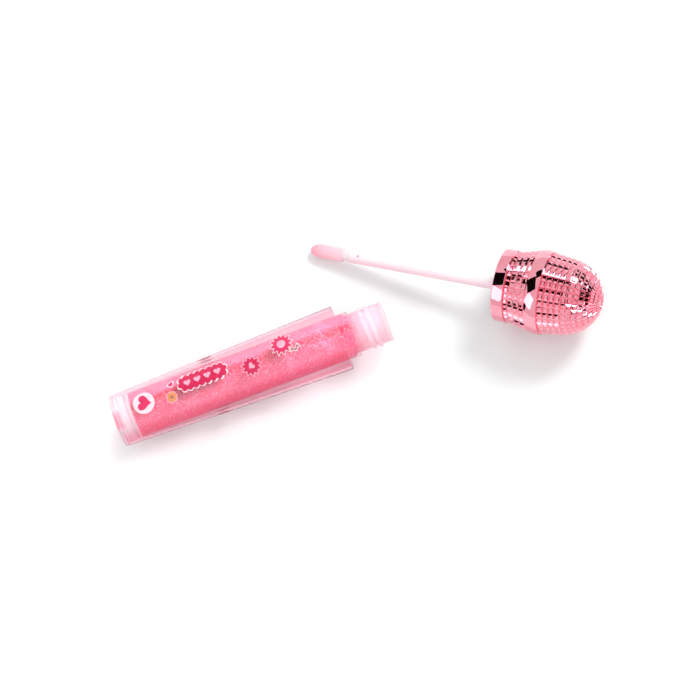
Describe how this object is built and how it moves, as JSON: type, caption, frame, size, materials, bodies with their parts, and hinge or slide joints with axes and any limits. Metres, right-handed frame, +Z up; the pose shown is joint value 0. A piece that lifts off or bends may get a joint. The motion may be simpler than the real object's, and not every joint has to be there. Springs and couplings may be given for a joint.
{
  "type": "lip gloss tube",
  "caption": "Open microphone-shaped lip gloss: clear tapered handle around a gloss vial with a threaded neck, and a studded round-headed cap with its applicator wand beside it.",
  "frame": {"origin": "on the table, under the middle of the opened pair's bounding box", "axes": "+X along the pair's long way, towards the cap's round head; +Y across the table, the side the wand lies on; +Z up from the table"},
  "size_m": [0.1722, 0.073, 0.0293],
  "materials": {
    "clear_shell": "clear, faint pink tint",
    "clear_plug": "clear, faint pink tint",
    "clear_vial": "clear",
    "pink_gloss": "thick clear pink liquid with fine glitter",
    "milky_wiper": "soft translucent",
    "white_washer": "soft, matt",
    "rose_chrome": "vacuum metallised, mirror gloss",
    "rose_chrome_dome": "vacuum metallised studded grille",
    "white_liner": "moulded",
    "milky_stem": "milky translucent",
    "applicator_shank": "translucent",
    "pink_flock": "short flock, wet with gloss"
  },
  "bodies": {
    "handle": {"outer_shell": "clear_shell", "base_plug": "clear_plug", "inner_vial": "clear_vial", "gloss_fill": "pink_gloss", "wiper": "milky_wiper"},
    "washer": {"sealing_washer": "white_washer"},
    "cap": {"cap_sleeve": "rose_chrome", "cap_dome": "rose_chrome_dome", "inner_liner": "white_liner", "wand_stem": "milky_stem", "applicator_core": "applicator_shank", "flocked_tip": "pink_flock"}
  },
  "joints": [
    {"name": "wand_draw", "type": "slide", "parent": "handle", "child": "washer", "axis": [0.9528, -0.266, 0.1464], "range_m": [0, 0.09]},
    {"name": "cap_turn", "type": "hinge", "parent": "washer", "child": "cap", "pos_m": [0.05115, 0.01602, 0.01252], "axis": [0.9528, -0.266, 0.1464], "range_deg": [0, 720]}
  ]
}
